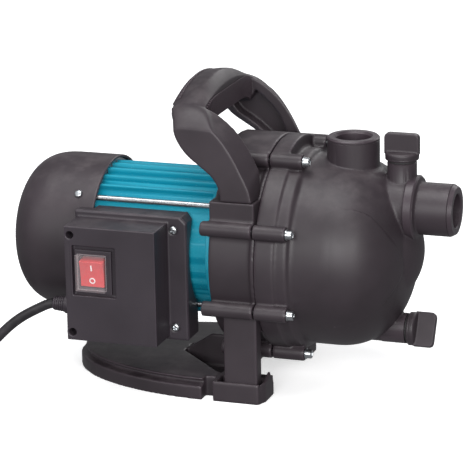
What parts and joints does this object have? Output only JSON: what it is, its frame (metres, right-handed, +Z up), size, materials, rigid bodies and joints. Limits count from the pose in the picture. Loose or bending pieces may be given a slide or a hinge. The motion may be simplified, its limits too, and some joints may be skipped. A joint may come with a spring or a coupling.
{
  "type": "centrifugal water pump",
  "caption": "Self-priming garden jet pump with finned motor, moulded casing, carrying handle, foot and switch box.",
  "frame": {"origin": "on the ground, under the shaft, at the middle of the foot's underside", "axes": "+X along the shaft towards the suction port, +Y across the pump away from the switch box, +Z up"},
  "size_m": [0.5439, 0.2157, 0.2696],
  "materials": {
    "black_plastic": "moulded black glass-filled plastic, fine grain",
    "box_plastic": "moulded black plastic, smoother",
    "inner_plastic": "natural moulded plastic",
    "brass": "cast, machined faces",
    "teal_enamel": "teal enamel over aluminium",
    "cast_aluminium": "bare die casting",
    "steel": "zinc plated, bright",
    "lamination": "stacked sheet",
    "copper_wire": "varnished copper wire",
    "rubber": "matt",
    "ceramic": "ground",
    "carbon": "lapped carbon",
    "capacitor_case": "smooth",
    "red_rocker": "gloss red",
    "clear_boot": "clear soft splash boot",
    "cable_rubber": "cable sheath"
  },
  "bodies": {
    "root": {"pump_casing": "black_plastic", "motor_bracket": "black_plastic", "foot_base": "black_plastic", "carry_handle": "black_plastic", "fan_cover": "black_plastic", "terminal_box_base": "box_plastic", "terminal_box_cover": "box_plastic", "switch_housing": "box_plastic", "cable_gland": "box_plastic", "mains_plug": "box_plastic", "diffuser": "inner_plastic", "jet_nozzle": "inner_plastic", "motor_housing": "teal_enamel", "motor_front_shield": "cast_aluminium", "motor_rear_shield": "cast_aluminium", "bearing_front": "steel", "bearing_rear": "steel", "tie_rod_1": "steel", "tie_rod_2": "steel", "tie_rod_3": "steel", "tie_rod_4": "steel", "casing_bolt_1": "steel", "casing_bolt_2": "steel", "casing_bolt_3": "steel", "casing_bolt_4": "steel", "casing_bolt_5": "steel", "casing_bolt_6": "steel", "casing_bolt_7": "steel", "casing_bolt_8": "steel", "fan_cover_screw_1": "steel", "fan_cover_screw_2": "steel", "fan_cover_screw_3": "steel", "cover_screw_1": "steel", "cover_screw_2": "steel", "foot_screw_1": "steel", "foot_screw_2": "steel", "stator_core": "lamination", "winding_front": "copper_wire", "winding_rear": "copper_wire", "casing_gasket": "rubber", "seal_seat": "ceramic", "run_capacitor": "capacitor_case", "switch_boot": "clear_boot", "power_cord": "cable_rubber", "cord_coil": "cable_rubber", "cord_tail": "cable_rubber"},
    "rotor": {"motor_shaft": "steel", "rotor_core": "lamination", "cooling_fan": "inner_plastic", "impeller": "brass", "seal_rotating_ring": "carbon"},
    "rocker": {"switch_rocker": "red_rocker"},
    "fill_gasket": {"fill_plug_gasket": "rubber"},
    "fill_plug": {"fill_plug": "black_plastic"},
    "drain_gasket": {"drain_plug_gasket": "rubber"},
    "drain_plug": {"drain_plug": "black_plastic"}
  },
  "joints": [
    {"name": "rotor_spin", "type": "hinge", "parent": "root", "child": "rotor", "pos_m": [0, 0, 0.119], "axis": [1, 0, 0], "continuous": true},
    {"name": "switch_rock", "type": "hinge", "parent": "root", "child": "rocker", "pos_m": [-0.0475, -0.092, 0.11225], "axis": [1, 0, 0], "range_deg": [-17, 0]},
    {"name": "fill_plug_lift", "type": "slide", "parent": "root", "child": "fill_gasket", "axis": [0, 0, 1], "range_m": [0, 0.0069]},
    {"name": "fill_plug_turn", "type": "hinge", "parent": "fill_gasket", "child": "fill_plug", "pos_m": [0.1965, 0, 0.203], "axis": [0, 0, 1], "range_deg": [0, 1080]},
    {"name": "drain_plug_lift", "type": "slide", "parent": "root", "child": "drain_gasket", "axis": [1, 0, 0], "range_m": [0, 0.0069]},
    {"name": "drain_plug_turn", "type": "hinge", "parent": "drain_gasket", "child": "drain_plug", "pos_m": [0.203, 0, 0.053], "axis": [1, 0, 0], "range_deg": [0, 1080]}
  ],
  "couplings": [
    {"joint": "fill_plug_turn", "follows": "fill_plug_lift", "rad_per_m": 2731.8},
    {"joint": "drain_plug_turn", "follows": "drain_plug_lift", "rad_per_m": 2731.8}
  ]
}
